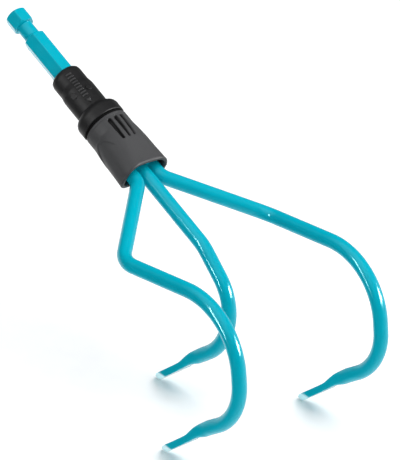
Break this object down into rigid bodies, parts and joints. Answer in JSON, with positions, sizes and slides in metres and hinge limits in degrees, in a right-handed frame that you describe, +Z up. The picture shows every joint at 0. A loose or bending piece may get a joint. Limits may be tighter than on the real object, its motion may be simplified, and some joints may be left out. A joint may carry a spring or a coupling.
{
  "type": "hand cultivator",
  "caption": "Hand cultivator head: bent steel tines with flattened points, spreading from a moulded ferrule below a black spigot and a hexagonal shank for a plug-on handle.",
  "frame": {"origin": "centre of the bounding box at the floor the three points stand on", "axes": "+X across the tines, +Y towards the hexagonal end where the handle plugs on, +Z up"},
  "size_m": [0.1012, 0.2198, 0.143],
  "materials": {
    "cyan_paint": "glossy powder coat",
    "black_plastic": "satin, fine grain",
    "ring_rubber": "matt",
    "grey_plastic": "satin, fine grain"
  },
  "bodies": {
    "root": {"hex_shank": "cyan_paint", "spigot": "black_plastic", "joint_ring": "ring_rubber", "ferrule": "grey_plastic", "tine_left": "cyan_paint", "tine_middle": "cyan_paint", "tine_right": "cyan_paint", "seam_welds": "cyan_paint", "root_weld": "cyan_paint"}
  },
  "joints": []
}
